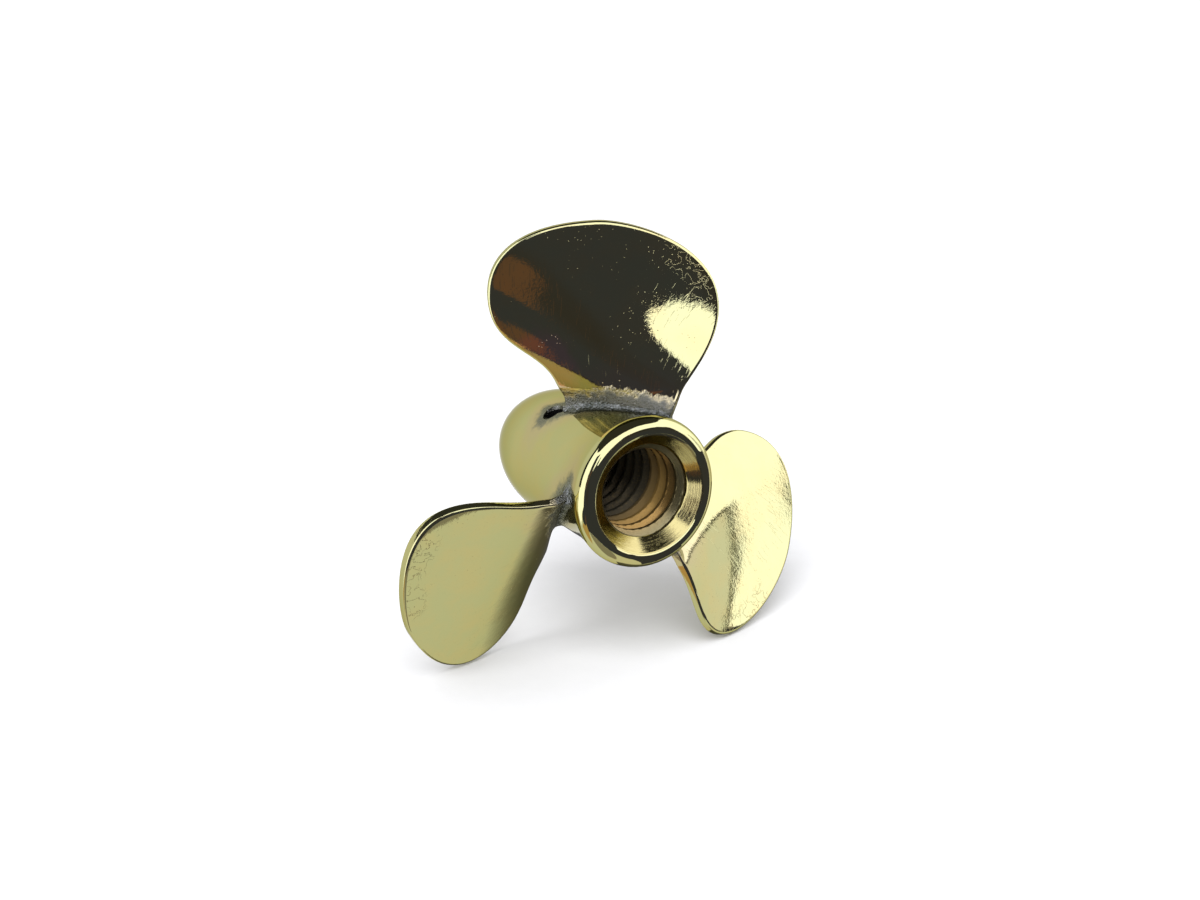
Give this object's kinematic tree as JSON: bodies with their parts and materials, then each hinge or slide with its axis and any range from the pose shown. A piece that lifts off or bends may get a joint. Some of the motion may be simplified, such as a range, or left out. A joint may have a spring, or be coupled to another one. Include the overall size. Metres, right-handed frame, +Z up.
{
  "type": "boat propeller",
  "caption": "Small left-handed screw propeller: a bullet-shaped turned hub with a threaded blind bore and wide rounded sheet blades soldered into skewed slots.",
  "frame": {"origin": "middle of the mouth plane of the hub, on the shaft axis", "axes": "+Y along the shaft axis from the mouth to the nose, +Z along the spindle of blade_1, +X to the right when looking from the mouth side toward the nose with +Z up"},
  "size_m": [0.0235, 0.0134, 0.0218],
  "materials": {
    "hub_brass": "polished turned brass with fine turning marks",
    "blade_brass": "polished rolled brass sheet with light scratches",
    "solder": "dull grey tin solder, rough with small bright glints"
  },
  "bodies": {
    "root": {"hub": "hub_brass", "blade_1": "blade_brass", "blade_2": "blade_brass", "blade_3": "blade_brass", "solder_joint_1": "solder", "solder_joint_2": "solder", "solder_joint_3": "solder"}
  },
  "joints": []
}
